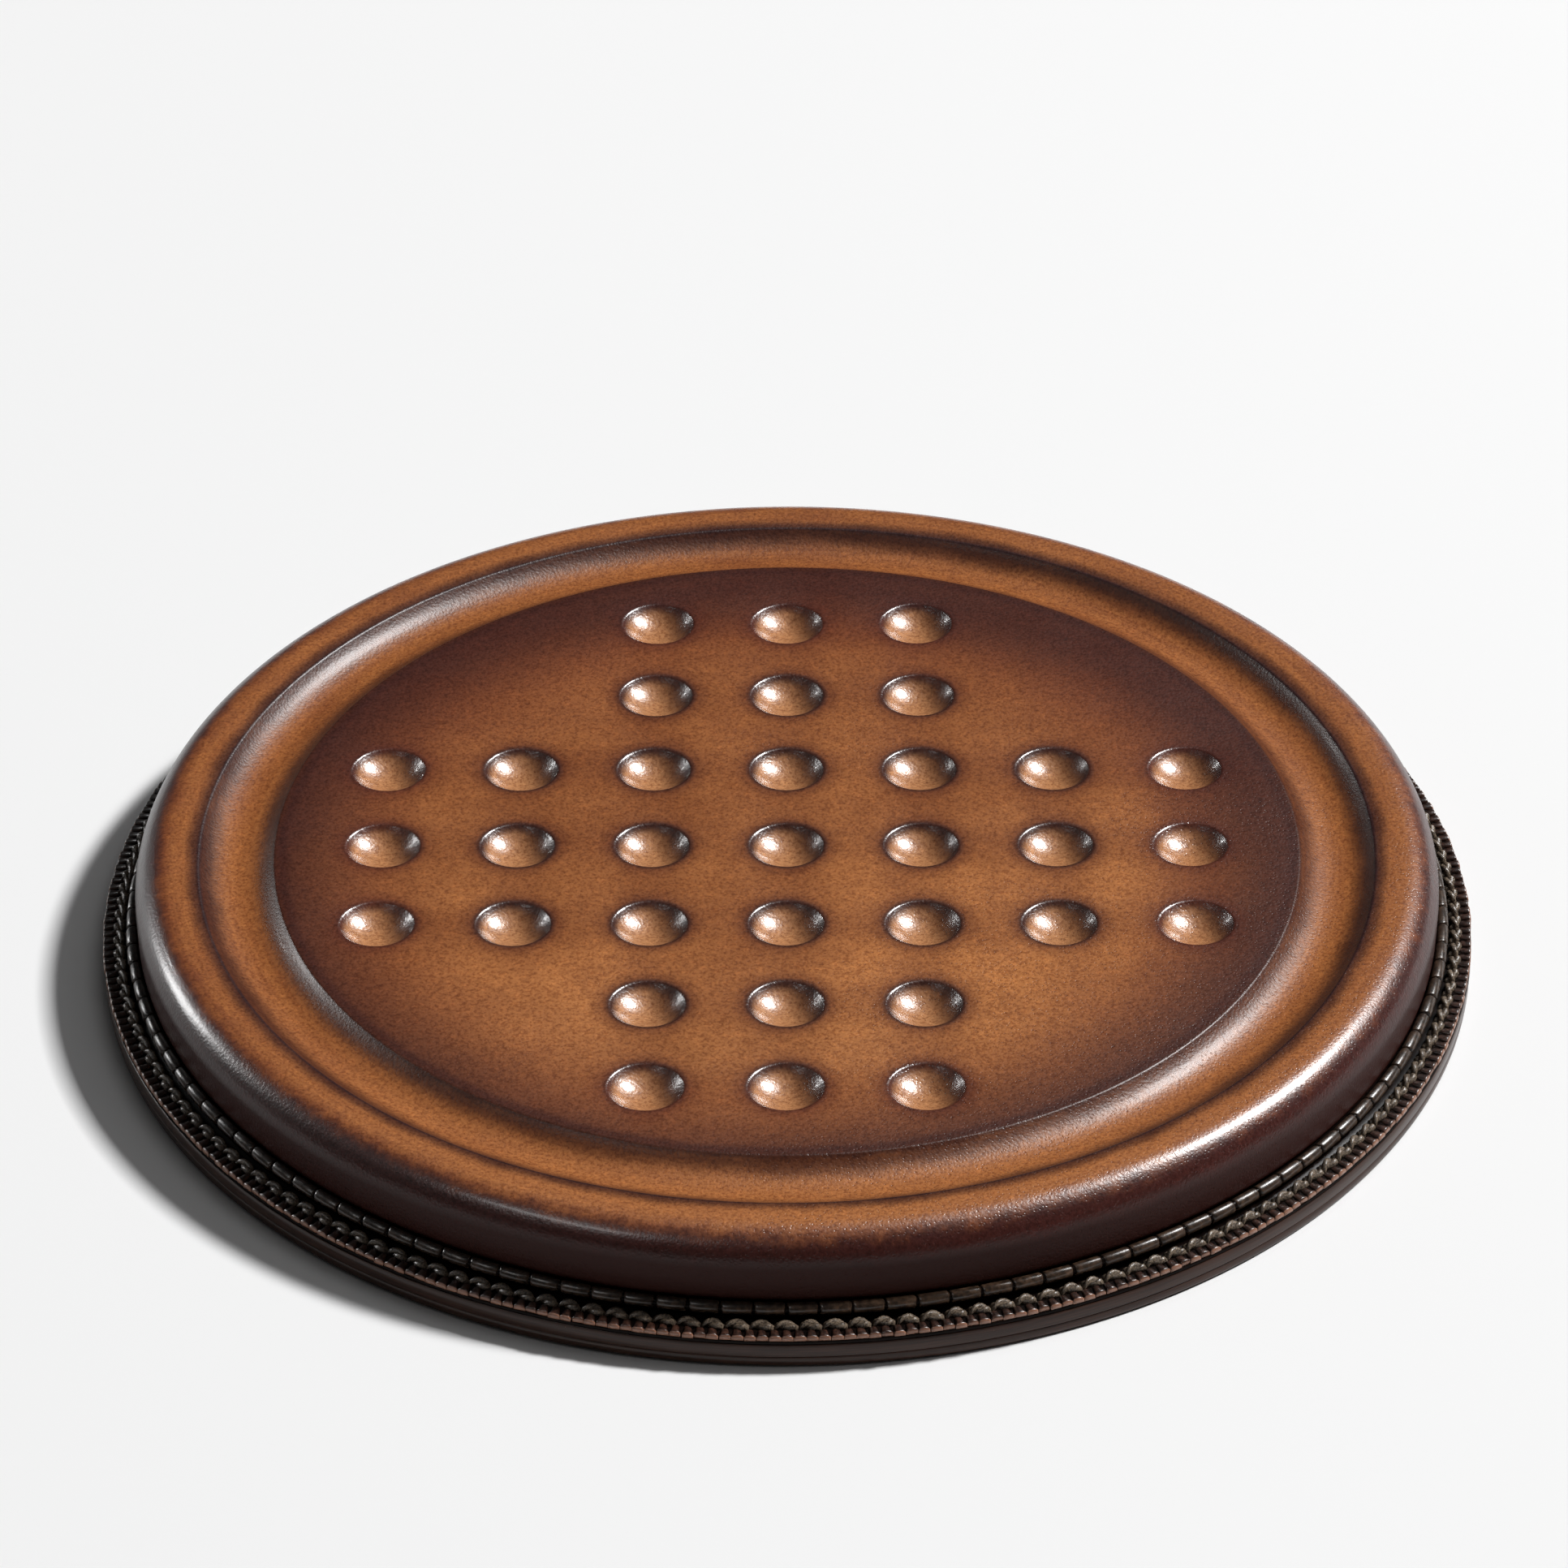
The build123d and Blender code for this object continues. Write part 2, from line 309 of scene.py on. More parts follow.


# %% Each hollow: a paler tan, painted light on its left and front, painted shade on its right and back
def hollow_light_and_shade(b, at, colour):
    inside = b.times(b.fade(at.reach, 0.20, 0.268, 1.0, 0.0), at.in_cross)
    towards_shaded_side = b.math("ADD", b.times(at.u, 0.9), b.times(at.v, 0.35))
    # Painted light and shade: bright on the wall that faces the key, dark on the walls turned away from
    # it.
    lit_left_shaded_right = b.mix(b.fade(towards_shaded_side, -0.03, 0.22), dye(192, 134, 88), dye(92, 54, 33))
    return b.mix(b.times(inside, 0.9), colour, lit_left_shaded_right)


# %% Gutter and rim: tan, streaked along the turning
def turned_leather(b, at, colour):
    around = b.math("ARCTAN2", at.y, at.x)
    turning = b.vector(b.times(at.radius, 900.0), b.times(around, 5.0), 0.0)
    streaks = b.noise(1.0, 3.0, 0.6, place=turning)
    turned = b.mix(b.fade(streaks, 0.32, 0.72), dye(140, 80, 39), dye(168, 104, 54))
    turned = b.mix(b.fade(at.cloud, 0.36, 0.72, 0.0, 0.6), turned, dye(132, 73, 36))
    turned = b.mix(b.fade(at.broad, 0.3, 0.7, 0.0, 0.6), turned, dye(166, 102, 53))
    turned = b.mix(b.fade(at.y, -140 * MM, -40 * MM, 0.45, 0.0), turned, dye(184, 118, 66))
    return b.mix(b.math("SUBTRACT", 1.0, at.on_disc), colour, turned)


# %% [markdown]
# Where the leather turns over an edge the dye gathers in lines, and the gutter's walls and creases get
# painted shade. Each is a ring with its radius, its half width, its strength and its tone, and the
# same cloud that mottles the tan makes it wavy.


# %% Lines of dye at both edges of the gutter, and painted shade down its walls
def edge_dye_and_gutter_shade(b, at, colour):
    for centre, half, strength, tone in (
        (DISC_RADIUS - 1.0 * MM, 3.0 * MM, 0.70, dye(54, 20, 18)),
        (DISC_RADIUS + 0.2 * MM, 0.8 * MM, 0.75, dye(40, 18, 18)),
        # Painted shade: these two broad rings darken the gutter's two walls.
        (DISC_RADIUS + 1.4 * MM, 4.4 * MM, 0.84, dye(74, 32, 13)),
        (RIM_START - 1.0 * MM, 5.0 * MM, 0.88, dye(60, 24, 13)),
        # These two darken the rim's inner edge: partly dye, partly painted shade of the crease.
        (RIM_START + 0.9 * MM, 3.4 * MM, 0.70, dye(60, 24, 16)),
        (RIM_START + 0.3 * MM, 0.75 * MM, 0.85, dye(42, 18, 22)),
    ):
        away = b.math("ABSOLUTE", b.math("SUBTRACT", at.radius, centre))
        wavy = b.math("ADD", away, b.swing(at.cloud, half * 0.9))
        colour = b.mix(b.times(b.fade(wavy, 0.0, half, 1.0, 0.0), strength), colour, tone)
    return colour


# %% Burgundy over the shoulder, sooner on the left, and near black on the wall
def shoulder_dye(b, at, colour):
    ragged = b.swing(b.noise(240.0, 4.0, 0.7), 5 * MM)
    uneven = b.math("ADD", ragged, b.swing(at.cloud, 3 * MM))
    leftward = b.fade(at.x, -150 * MM, -40 * MM, 1.6 * MM, 0.0)
    outward = b.math("ADD", b.math("ADD", at.radius, uneven), leftward)
    ruddy = b.fade(outward, SHOULDER_START - 0.35 * MM, SHOULDER_START + 4.25 * MM)
    wine = b.fade(outward, SHOULDER_START + 2.25 * MM, SHOULDER_START + 5.65 * MM)
    colour = b.mix(b.times(ruddy, at.outer, 0.7), colour, dye(104, 48, 32))
    colour = b.mix(b.times(wine, at.outer, 0.95), colour, dye(58, 23, 21))
    lower = b.math("ADD", at.z, uneven)
    at.below = b.times(b.fade(lower, CROWN - 7.0 * MM, CROWN - 3.2 * MM, 1.0, 0.0), at.outer)
    return b.mix(at.below, colour, dye(50, 25, 21))


# %% Speckle of the grain, and pores as dark points where the hide is coarser
def hide_grain(b, at, colour):
    freckle = b.noise(620.0, 3.0, 0.75)
    on_top = b.math("SUBTRACT", 1.0, at.below)
    for patch, tint in (
        (b.fade(at.speck, 0.32, 0.58, 0.9, 0.0), (0.62, 0.52, 0.46, 1.0)),
        (b.fade(freckle, 0.50, 0.72), (1.28, 1.28, 1.26, 1.0)),
        (b.fade(freckle, 0.28, 0.48, 1.0, 0.0), (0.74, 0.68, 0.64, 1.0)),
    ):
        colour = b.mix(b.times(patch, on_top), colour, tint, blend="MULTIPLY")
    towards_flank = b.times(b.math("SUBTRACT", at.x, at.y), 0.9)
    coarse = b.fade(b.math("ADD", at.broad, towards_flank), 0.48, 0.74)
    at.pores = b.times(b.fade(b.cells(1150.0), 0.10, 0.34, 1.0, 0.0), coarse)
    return b.mix(b.times(at.pores, 0.35), colour, dye(62, 28, 20))


# %% [markdown]
# Shine. The shoulder and the lips of the hollows are waxed and rubbed until they gleam, the disc
# stays satin and the wall stays dull. The relief is only the fine grain and a faint wave, as the
# shape itself is in the mesh.


# %% Wax and polish
def wax_and_polish(b, at):
    polish = b.fade(at.radius, SHOULDER_START - 4.95 * MM, SHOULDER_START + 2.05 * MM)
    roughness = b.math("ADD", 0.30, b.times(b.math("ADD", at.speck, at.cloud), 0.09))
    roughness = b.math("SUBTRACT", roughness, b.times(polish, 0.05))
    roughness = b.math("SUBTRACT", roughness, b.times(at.lip, 0.09))
    shoulder = b.times(polish, b.fade(at.z, CROWN - 7.5 * MM, CROWN - 4.0 * MM))
    waxed = b.math("MAXIMUM", at.lip, b.times(shoulder, 0.8))
    dull = b.times(at.outer, b.fade(at.z, CROWN - 4.6 * MM, CROWN - 2.6 * MM, 1.0, 0.0))
    level = b.math("ADD", 0.28, b.times(waxed, 0.3))
    level = b.math("SUBTRACT", level, b.times(dull, 0.19))
    coat = b.math("ADD", 0.06, b.times(waxed, 0.26))
    coat = b.times(coat, b.math("SUBTRACT", 1.0, dull))
    b.plug(level, b.shader.inputs["Specular IOR Level"])
    b.plug(coat, b.shader.inputs["Coat Weight"])
    return roughness


# %% Relief of the hide
def hide_relief(b, at):
    height = b.math("ADD", b.times(at.speck, 0.6), b.times(b.cells(1500.0), 0.4))
    height = b.math("SUBTRACT", height, b.times(at.pores, 0.5))
    fine = b.bump(height, 0.11 * MM, 0.75)
    return b.bump(b.noise(60.0, 2.0), 0.5 * MM, 0.25, under=fine)


# %% The cover's leather, coat by coat
# Most of these coats are dye; the hollows' coat and some of the gutter's rings are painted light and
# shade.
COATS_OF_DYE_LIGHT_AND_SHADE = (
    hollow_rings,
    disc_edge,
    hollow_light_and_shade,
    turned_leather,
    edge_dye_and_gutter_shade,
    shoulder_dye,
    hide_grain,
)


def patina_leather():
    b = Bench("patina_leather", 0.36, specular=0.34, coat=0.16, coat_roughness=0.16)
    at = board_measures(b)
    hollow_measures(b, at)
    colour = tan_ground(b, at)
    for coat_of_colour in COATS_OF_DYE_LIGHT_AND_SHADE:
        colour = coat_of_colour(b, at, colour)
    return b.finish(colour, wax_and_polish(b, at), hide_relief(b, at))


cover_dye_light_and_shade = patina_leather()
print("Patina made with", len(cover_dye_light_and_shade.node_tree.nodes), "nodes")

# %% [markdown]
# The moulded cover is a form of revolution with thirty-three ball-shaped hollows in its flat disc.
# A lathe profile gives the gutter, rim and wall. Each hollow is a small lathe of its own with a
# rolled lip, and the flat leather between them is filled in as one plane, so it stays truly flat.
# The profile's arcs are worked out from the marbles' own ball.


# %% Arcs, rings and the bridge between two rings
def arc(centre_r, centre_z, radius, start, end, steps):
    """Points of an arc in the (r, z) plane; angles in degrees from the outward direction."""
    return [
        (
            centre_r + radius * math.cos(math.radians(start + (end - start) * i / steps)),
            centre_z + radius * math.sin(math.radians(start + (end - start) * i / steps)),
        )
        for i in range(steps + 1)
    ]


def ring_of(bm, radius, level, steps, middle=(0.0, 0.0)):
    """One ring of vertices round a vertical axis."""
    return [
        bm.verts.new(
            (
                middle[0] + radius * math.cos(2 * math.pi * i / steps),
                middle[1] + radius * math.sin(2 * math.pi * i / steps),
                level,
            )
        )
        for i in range(steps)
    ]


def bridge(bm, inner, outer):
    """Quads between two rings; the faces look up when the outer ring is further out."""
    steps = len(inner)
    for i in range(steps):
        j = (i + 1) % steps
        bm.faces.new((inner[i], outer[i], outer[j], inner[j]))


# %% Lathe, cap and the step that keeps a piece
def lathe(bm, profile, steps, middle=(0.0, 0.0)):
    """Turns a profile of (radius, level) points round a vertical axis; returns its rings."""
    rings = [ring_of(bm, r, z, steps, middle) for r, z in profile]
    for first, second in zip(rings, rings[1:]):
        bridge(bm, first, second)
    return rings


def cap(bm, ring, level, middle=(0.0, 0.0)):
    """Closes a ring with a fan to one vertex on the axis."""
    tip = bm.verts.new((middle[0], middle[1], level))
    for i, corner in enumerate(ring):
        bm.faces.new((tip, corner, ring[(i + 1) % len(ring)]))


def keep(bm, name, material):
    """Turns the bench mesh into a finished object with its material."""
    for face in bm.faces:
        face.smooth = True
    mesh = bpy.data.meshes.new(name)
    bm.to_mesh(mesh)
    bm.free()
    mesh.materials.append(material)
    made = bpy.data.objects.new(name, mesh)
    scene.collection.objects.link(made)
    return made


# %% Profile of gutter, rim and wall
def side_angle(outward, upward):
    """Degrees from the outward direction, as arc wants them."""
    return math.degrees(math.atan2(upward, outward))


def cover_profile():
    edge, lip, foot = 0.9 * MM, 1.0 * MM, 2.0 * MM
    rim_fall, rim_steps = 0.35 * MM, 8
    rim_low = CROWN - rim_fall
    near = GUTTER_RADIUS - math.sqrt((MARBLE_BALL + edge) ** 2 - (BALL_LEVEL - DISC + edge) ** 2)
    far = GUTTER_RADIUS + math.sqrt((MARBLE_BALL + lip) ** 2 - (BALL_LEVEL - rim_low + lip) ** 2)
    near_turn = side_angle(near - GUTTER_RADIUS, DISC - edge - BALL_LEVEL) % 360
    far_turn = side_angle(far - GUTTER_RADIUS, rim_low - lip - BALL_LEVEL)
    points = arc(near, DISC - edge, edge, 90, near_turn - 180, 5)
    points += arc(GUTTER_RADIUS, BALL_LEVEL, MARBLE_BALL, near_turn - 360, far_turn, 22)[1:]
    points += arc(far, rim_low - lip, lip, far_turn + 180, 90, 7)[1:]
    for i in range(1, rim_steps):
        share = i / rim_steps
        r = far + (SHOULDER_START - far) * share
        points.append((r, CROWN - rim_fall * (1 - share) ** 2))
    points += arc(SHOULDER_START, CROWN - RIM_SHOULDER, RIM_SHOULDER, 90, 0, 18)
    points.append((FOOT_RADIUS + 0.08 * MM, MARGIN + 4.5 * MM))
    points += arc(FOOT_RADIUS - foot, MARGIN + foot, foot, 3, -90, 7)
    points.append((FOOT_RADIUS - MARGIN_WIDTH, MARGIN))
    return points


profile = cover_profile()
widest = max(r for r, z in profile)
print("Cover profile:", len(profile), "points, out to", round(widest / MM, 2), "mm")


# %% One hollow with its rolled lip
def hollow_profile():
    lift = MARBLE_BALL - HOLLOW_DEPTH
    lip_radius = math.sqrt((MARBLE_BALL + HOLLOW_LIP) ** 2 - (lift + HOLLOW_LIP) ** 2)
    meet = math.degrees(math.asin(lip_radius / (MARBLE_BALL + HOLLOW_LIP)))
    points = arc(0.0, DISC + lift, MARBLE_BALL, -90 + meet / 9, -90 + meet, 8)
    points += arc(lip_radius, DISC - HOLLOW_LIP, HOLLOW_LIP, 90 + meet, 90, 5)[1:]
    return points


hollow_shape = hollow_profile()
places = [
    (column * HOLLOW_PITCH, row * HOLLOW_PITCH)
    for row in range(-3, 4)
    for column in range(-3, 4)
    if abs(row) <= 1 or abs(column) <= 1
]
print(len(places), "hollows,", round(2 * hollow_shape[-1][0] / MM, 1), "mm over their lips")


# %% The moulded cover
def edges_round(bm, ring):
    return [bm.edges.get(pair) for pair in zip(ring, ring[1:] + ring[:1])]


def moulded_cover():
    bm = bmesh.new()
    rings = lathe(bm, profile, 360)
    edges = edges_round(bm, rings[0])
    for middle in places:
        inner = lathe(bm, hollow_shape, 44, middle)
        cap(bm, inner[0], DISC - HOLLOW_DEPTH, middle)
        edges += edges_round(bm, inner[-1])
    filled = bmesh.ops.triangle_fill(bm, use_beauty=True, edges=edges)
    for item in filled["geom"]:
        if isinstance(item, bmesh.types.BMFace) and item.normal.z < 0:
            item.normal_flip()
    return keep(bm, "cover", cover_dye_light_and_shade)


# %% Thickness of the leather
def give_thickness(piece, thickness):
    """Solidify inwards, then apply, so that the leather is a closed sheet."""
    shell = piece.modifiers.new("thickness", "SOLIDIFY")
    shell.thickness = thickness
    shell.offset = -1.0
    depsgraph = bpy.context.evaluated_depsgraph_get()
    solid = bpy.data.meshes.new_from_object(piece.evaluated_get(depsgraph))
    piece.modifiers.clear()
    piece.data = solid


cover = moulded_cover()
give_thickness(cover, LEATHER)
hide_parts("leather_cover")
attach(cover, "root")
print("Cover:", len(cover.data.polygons), "faces")

# %% [markdown]
# Geometry Nodes repeat what goes round the board: the bead's segments, the ribs of the wheeled
# edge and the stitches. One tree serves all three. It lays a ring of points, lets each wander a
# little in and out as hand work does, and puts one shape on every point, turned to face outwards.


# %% A bench for trees
class Tree:
    def __init__(self, name):
        self.group = bpy.data.node_groups.new(name, "GeometryNodeTree")
        self.group.interface.new_socket("Geometry", in_out="OUTPUT", socket_type="NodeSocketGeometry")
        self.source = self.group.nodes.new("NodeGroupInput")
        self.sink = self.group.nodes.new("NodeGroupOutput")

    def entry(self, name, kind):
        return self.group.interface.new_socket(name, in_out="INPUT", socket_type=kind).identifier

    def node(self, kind, **settings):
        made = self.group.nodes.new(kind)
        for key, value in settings.items():
            setattr(made, key, value)
        return made

    def link(self, start, end):
        self.group.links.new(start, end)

    def math(self, operation, first, second):
        made = self.node("ShaderNodeMath", operation=operation)
        for value, socket in ((first, made.inputs[0]), (second, made.inputs[1])):
            if isinstance(value, bpy.types.NodeSocket):
                self.link(value, socket)
            else:
                socket.default_value = value
        return made.outputs[0]

    def random(self, low, high, seed, salt):
        made = self.node("FunctionNodeRandomValue", data_type="FLOAT")
        made.inputs["Min"].default_value = low
        made.inputs["Max"].default_value = high
        self.link(self.math("ADD", seed, salt), made.inputs["Seed"])
        return made.outputs[1]


# %% Tree that repeats a shape round the board
def round_the_board():
    t = Tree("round_the_board")
    names = {
        "Shape": "NodeSocketObject",
        "Count": "NodeSocketInt",
        "Radius": "NodeSocketFloat",
        "Level": "NodeSocketFloat",
        "Slant": "NodeSocketFloat",
        "Wander": "NodeSocketFloat",
        "Unevenness": "NodeSocketFloat",
        "Finish": "NodeSocketMaterial",
        "Seed": "NodeSocketInt",
    }
    sockets = {name: t.entry(name, kind) for name, kind in names.items()}
    given = t.source.outputs

    ring = t.node("GeometryNodeMeshCircle")
    t.link(given["Count"], ring.inputs["Vertices"])
    t.link(given["Radius"], ring.inputs["Radius"])

    # Wander: a slow swing in and out, the same at both ends of the ring because it reads the place
    place = t.node("GeometryNodeInputPosition")
    swing = t.node("ShaderNodeTexNoise")
    swing.inputs["Scale"].default_value = 38.0
    t.link(place.outputs[0], swing.inputs["Vector"])
    outwards = t.node("ShaderNodeVectorMath", operation="NORMALIZE")
    t.link(place.outputs[0], outwards.inputs[0])
    amount = t.math("MULTIPLY", t.math("SUBTRACT", swing.outputs["Fac"], 0.5), given["Wander"])
    shift = t.node("ShaderNodeVectorMath", operation="SCALE")
    t.link(outwards.outputs[0], shift.inputs[0])
    t.link(amount, shift.inputs["Scale"])
    lift = t.node("ShaderNodeCombineXYZ")
    t.link(given["Level"], lift.inputs[2])
    both = t.node("ShaderNodeVectorMath", operation="ADD")
    t.link(shift.outputs[0], both.inputs[0])
    t.link(lift.outputs[0], both.inputs[1])
    moved = t.node("GeometryNodeSetPosition")
    t.link(ring.outputs["Mesh"], moved.inputs["Geometry"])
    t.link(both.outputs[0], moved.inputs["Offset"])

    shape = t.node("GeometryNodeObjectInfo")
    t.link(given["Shape"], shape.inputs["Object"])
    index = t.node("GeometryNodeInputIndex")
    turn = t.math("MULTIPLY", t.math("DIVIDE", index.outputs[0], given["Count"]), 2 * math.pi)
    askew = t.math("MULTIPLY", t.random(-1.0, 1.0, given["Seed"], 1), given["Unevenness"])
    turn = t.math("ADD", t.math("ADD", turn, given["Slant"]), t.math("MULTIPLY", askew, 0.5))
    facing = t.node("ShaderNodeCombineXYZ")
    t.link(turn, facing.inputs[2])
    sizes = t.node("ShaderNodeCombineXYZ")
    for axis in range(3):
        spread = t.math("MULTIPLY", t.random(-1.0, 1.0, given["Seed"], 5 + axis), given["Unevenness"])
        t.link(t.math("ADD", spread, 1.0), sizes.inputs[axis])
    copies = t.node("GeometryNodeInstanceOnPoints")
    t.link(moved.outputs[0], copies.inputs["Points"])
    t.link(shape.outputs["Geometry"], copies.inputs["Instance"])
    t.link(facing.outputs[0], copies.inputs["Rotation"])
    t.link(sizes.outputs[0], copies.inputs["Scale"])
    real = t.node("GeometryNodeRealizeInstances")
    t.link(copies.outputs[0], real.inputs[0])
    finish = t.node("GeometryNodeSetMaterial")
    t.link(real.outputs[0], finish.inputs["Geometry"])
    t.link(given["Finish"], finish.inputs["Material"])
    t.link(finish.outputs[0], t.sink.inputs[0])
    return t.group, sockets


ROUND_TREE, ROUND_SOCKETS = round_the_board()
print("The tree takes", ", ".join(ROUND_SOCKETS))


# %% Run the tree on one shape
def repeat_round(name, shape, material, **given):
    """Runs the tree on one shape and keeps the result as a plain mesh."""
    holder = bpy.data.objects.new(name, bpy.data.meshes.new(name + "_seat"))
    scene.collection.objects.link(holder)
    maker = holder.modifiers.new("repeat", "NODES")
    maker.node_group = ROUND_TREE
    values = {"Shape": shape, "Finish": material, "Seed": 7, **given}
    for key, value in values.items():
        maker[ROUND_SOCKETS[key]] = value
    depsgraph = bpy.context.evaluated_depsgraph_get()
    mesh = bpy.data.meshes.new_from_object(holder.evaluated_get(depsgraph))
    holder.modifiers.clear()
    holder.data = mesh
    bpy.data.objects.remove(shape)
    for face in mesh.polygons:
        face.use_smooth = True
    print(name, "has", len(mesh.polygons), "faces")
    return holder


# %% [markdown]
# Dark waxed leather for the bead, the ribs and the welt. One recipe serves all three: mottled between
# a low and a high tone, and on the ribs a pale painted highlight along their outer ends. The welt's
# groove is left without shine and near black, partly its own dark dye and partly painted shade, so
# that it stays a dark line between the bead and the thread.


# %% Dark welt leather
def dark_leather(name, low, high, scale, roughness, specular=0.5, highlight_from=None):
    b = Bench(name, roughness, specular=specular, coat=0.1, coat_roughness=0.25)
    grain = b.noise(scale, 4.0, 0.65)
    patch = b.noise(110.0, 2.0, 0.5)
    colour = b.mix(b.fade(grain, 0.34, 0.72), low, high)
    colour = b.mix(b.fade(patch, 0.4, 0.75, 0.0, 0.5), colour, low)
    if highlight_from:
        # Painted highlight: a pale line along the ribs' outer ends
        x, y, z = b.parts()
        colour = b.mix(b.fade(b.length(x, y), highlight_from, highlight_from + 0.25 * MM), colour, dye(136, 96, 76))
    rough = b.math("ADD", roughness - 0.06, b.times(grain, 0.16))
    return b.finish(colour, rough, b.bump(grain, 0.12 * MM, 0.5))


bead_leather = dark_leather("bead_leather", dye(34, 25, 19), dye(78, 59, 45), 900.0, 0.30)
# Radius from which the ribs get their painted highlight.
RIB_HIGHLIGHT_FROM = welt_high.x - 0.42 * MM
RIB_TONES = dye(30, 18, 14), dye(76, 48, 37)
rib_leather = dark_leather("rib_leather", *RIB_TONES, 1100.0, 0.32, highlight_from=RIB_HIGHLIGHT_FROM)
# Near black for the welt, the rand and the floor of the bead's nicks: partly the welt's own dark dye,
# partly painted shade in those grooves.
welt_leather = dark_leather("welt_leather", dye(12, 8, 7), dye(24, 16, 13), 700.0, 0.8, specular=0.0)

# %% [markdown]
# The bead. On the real rand it is one round cord of leather, nicked across every few millimetres
# with a slanting tool. Here a thin dark ring is the floor of the nicks, and a short, barrel-shaped
# segment stands between each two.


# %% Sizes of the bead
BEAD_COUNT = 134
BEAD_INNER = FOOT_RADIUS - 0.1 * MM
BEAD_WIDTH = 2.7 * MM
NICK = 0.34 * MM
BEAD_RADIUS = BEAD_INNER + BEAD_WIDTH / 2
LEDGE = MARGIN
BEAD_LEVEL = LEDGE + 0.1 * MM
WELT_TOP = welt_high.z


# %% Rand: flange, ledge and the floor of the nicks
def rand_ring():
    bm = bmesh.new()
    half = BEAD_WIDTH / 2 - NICK
    inner, outer = BEAD_INNER - FLANGE_REACH, BEAD_RADIUS + 0.3 * MM
    points = [(inner, WELT_TOP), (inner, LEDGE), (BEAD_INNER - 1 * MM, LEDGE)]
    points += arc(BEAD_RADIUS, BEAD_LEVEL, half, 180, -60, 13)
    points += [(outer, LEDGE - 1.3 * MM), (outer, WELT_TOP)]
    rings = lathe(bm, points, 300)
    bridge(bm, rings[-1], rings[0])
    return keep(bm, "rand", welt_leather)


# %% One segment of the bead
def bead_segment():
    """A short round bar along Y, its ends cut at a slant; one corner of the far end is nicked."""
    bm = bmesh.new()
    length = 2 * math.pi * BEAD_RADIUS / BEAD_COUNT - NICK
    half = BEAD_WIDTH / 2
    lean = 0.22
    sides = 12
    rounded_end = ((0.5, 0.82), (0.475, 0.95), (0.42, 1.0))
    barrel = [(-along, swell) for along, swell in rounded_end] + list(reversed(rounded_end))
    sections = []
    for along, swell in barrel:
        section = []
        for i in range(sides):
            angle = 2 * math.pi * i / sides
            r, z = half * swell * math.cos(angle), half * swell * math.sin(angle)
            nick = 0.55 * MM * max(0.0, r / half) ** 2 if along > 0.45 else 0.0
            section.append(bm.verts.new((r, along * length + lean * r - nick, z)))
        sections.append(section)
    for first, second in zip(sections, sections[1:]):
        for i in range(sides):
            j = (i + 1) % sides
            bm.faces.new((first[i], second[i], second[j], first[j]))
    bm.faces.new(sections[0])
    bm.faces.new(list(reversed(sections[-1])))
    bmesh.ops.recalc_face_normals(bm, faces=bm.faces)
    return keep(bm, "bead_segment", bead_leather)


# %% The rand with its bead
rand = rand_ring()
bead = repeat_round(
    "bead",
    bead_segment(),
    bead_leather,
    Count=BEAD_COUNT,
    Radius=BEAD_RADIUS,
    Level=BEAD_LEVEL,
    Slant=0.0,
    Wander=0.25 * MM,
    Unevenness=0.035,
)
for piece in (rand, bead):
    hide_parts("storm_rand")
    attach(piece, "root")

# %% [markdown]
# The welt is a flat ring with a shallow groove for the thread. A hot wheel presses its upper edge
# into fine ribs, two to each stitch. The thin bright line along their outer ends is a painted
# highlight.

# %% Sizes of the welt and its seam
STITCH_COUNT = 184
STITCH_RADIUS = stitch_high.x - 0.90 * MM
WELT_EDGE = welt_high.x - 0.45 * MM
RIB_INNER = STITCH_RADIUS + 1.0 * MM


# %% The welt's strip with its groove
def welt_ring():
    bm = bmesh.new()
    points = [
        (BEAD_INNER - FLANGE_REACH, welt_low.z),
        (BEAD_INNER - FLANGE_REACH, WELT_TOP),
        (BEAD_RADIUS + 0.4 * MM, WELT_TOP),
        (BEAD_RADIUS + 0.7 * MM, WELT_TOP - 0.45 * MM),
        (STITCH_RADIUS + 0.75 * MM, WELT_TOP - 0.35 * MM),
        (RIB_INNER + 0.2 * MM, WELT_TOP - 0.25 * MM),
        (WELT_EDGE - 0.25 * MM, WELT_TOP - 0.75 * MM),
        (WELT_EDGE + 0.25 * MM, WELT_TOP - 1.0 * MM),
        (welt_high.x - 0.12 * MM, welt_low.z + 0.25 * MM),
        (welt_high.x - 0.3 * MM, welt_low.z),
    ]
    rings = lathe(bm, points, 300)
    bridge(bm, rings[-1], rings[0])
    return keep(bm, "welt_strip", welt_leather)


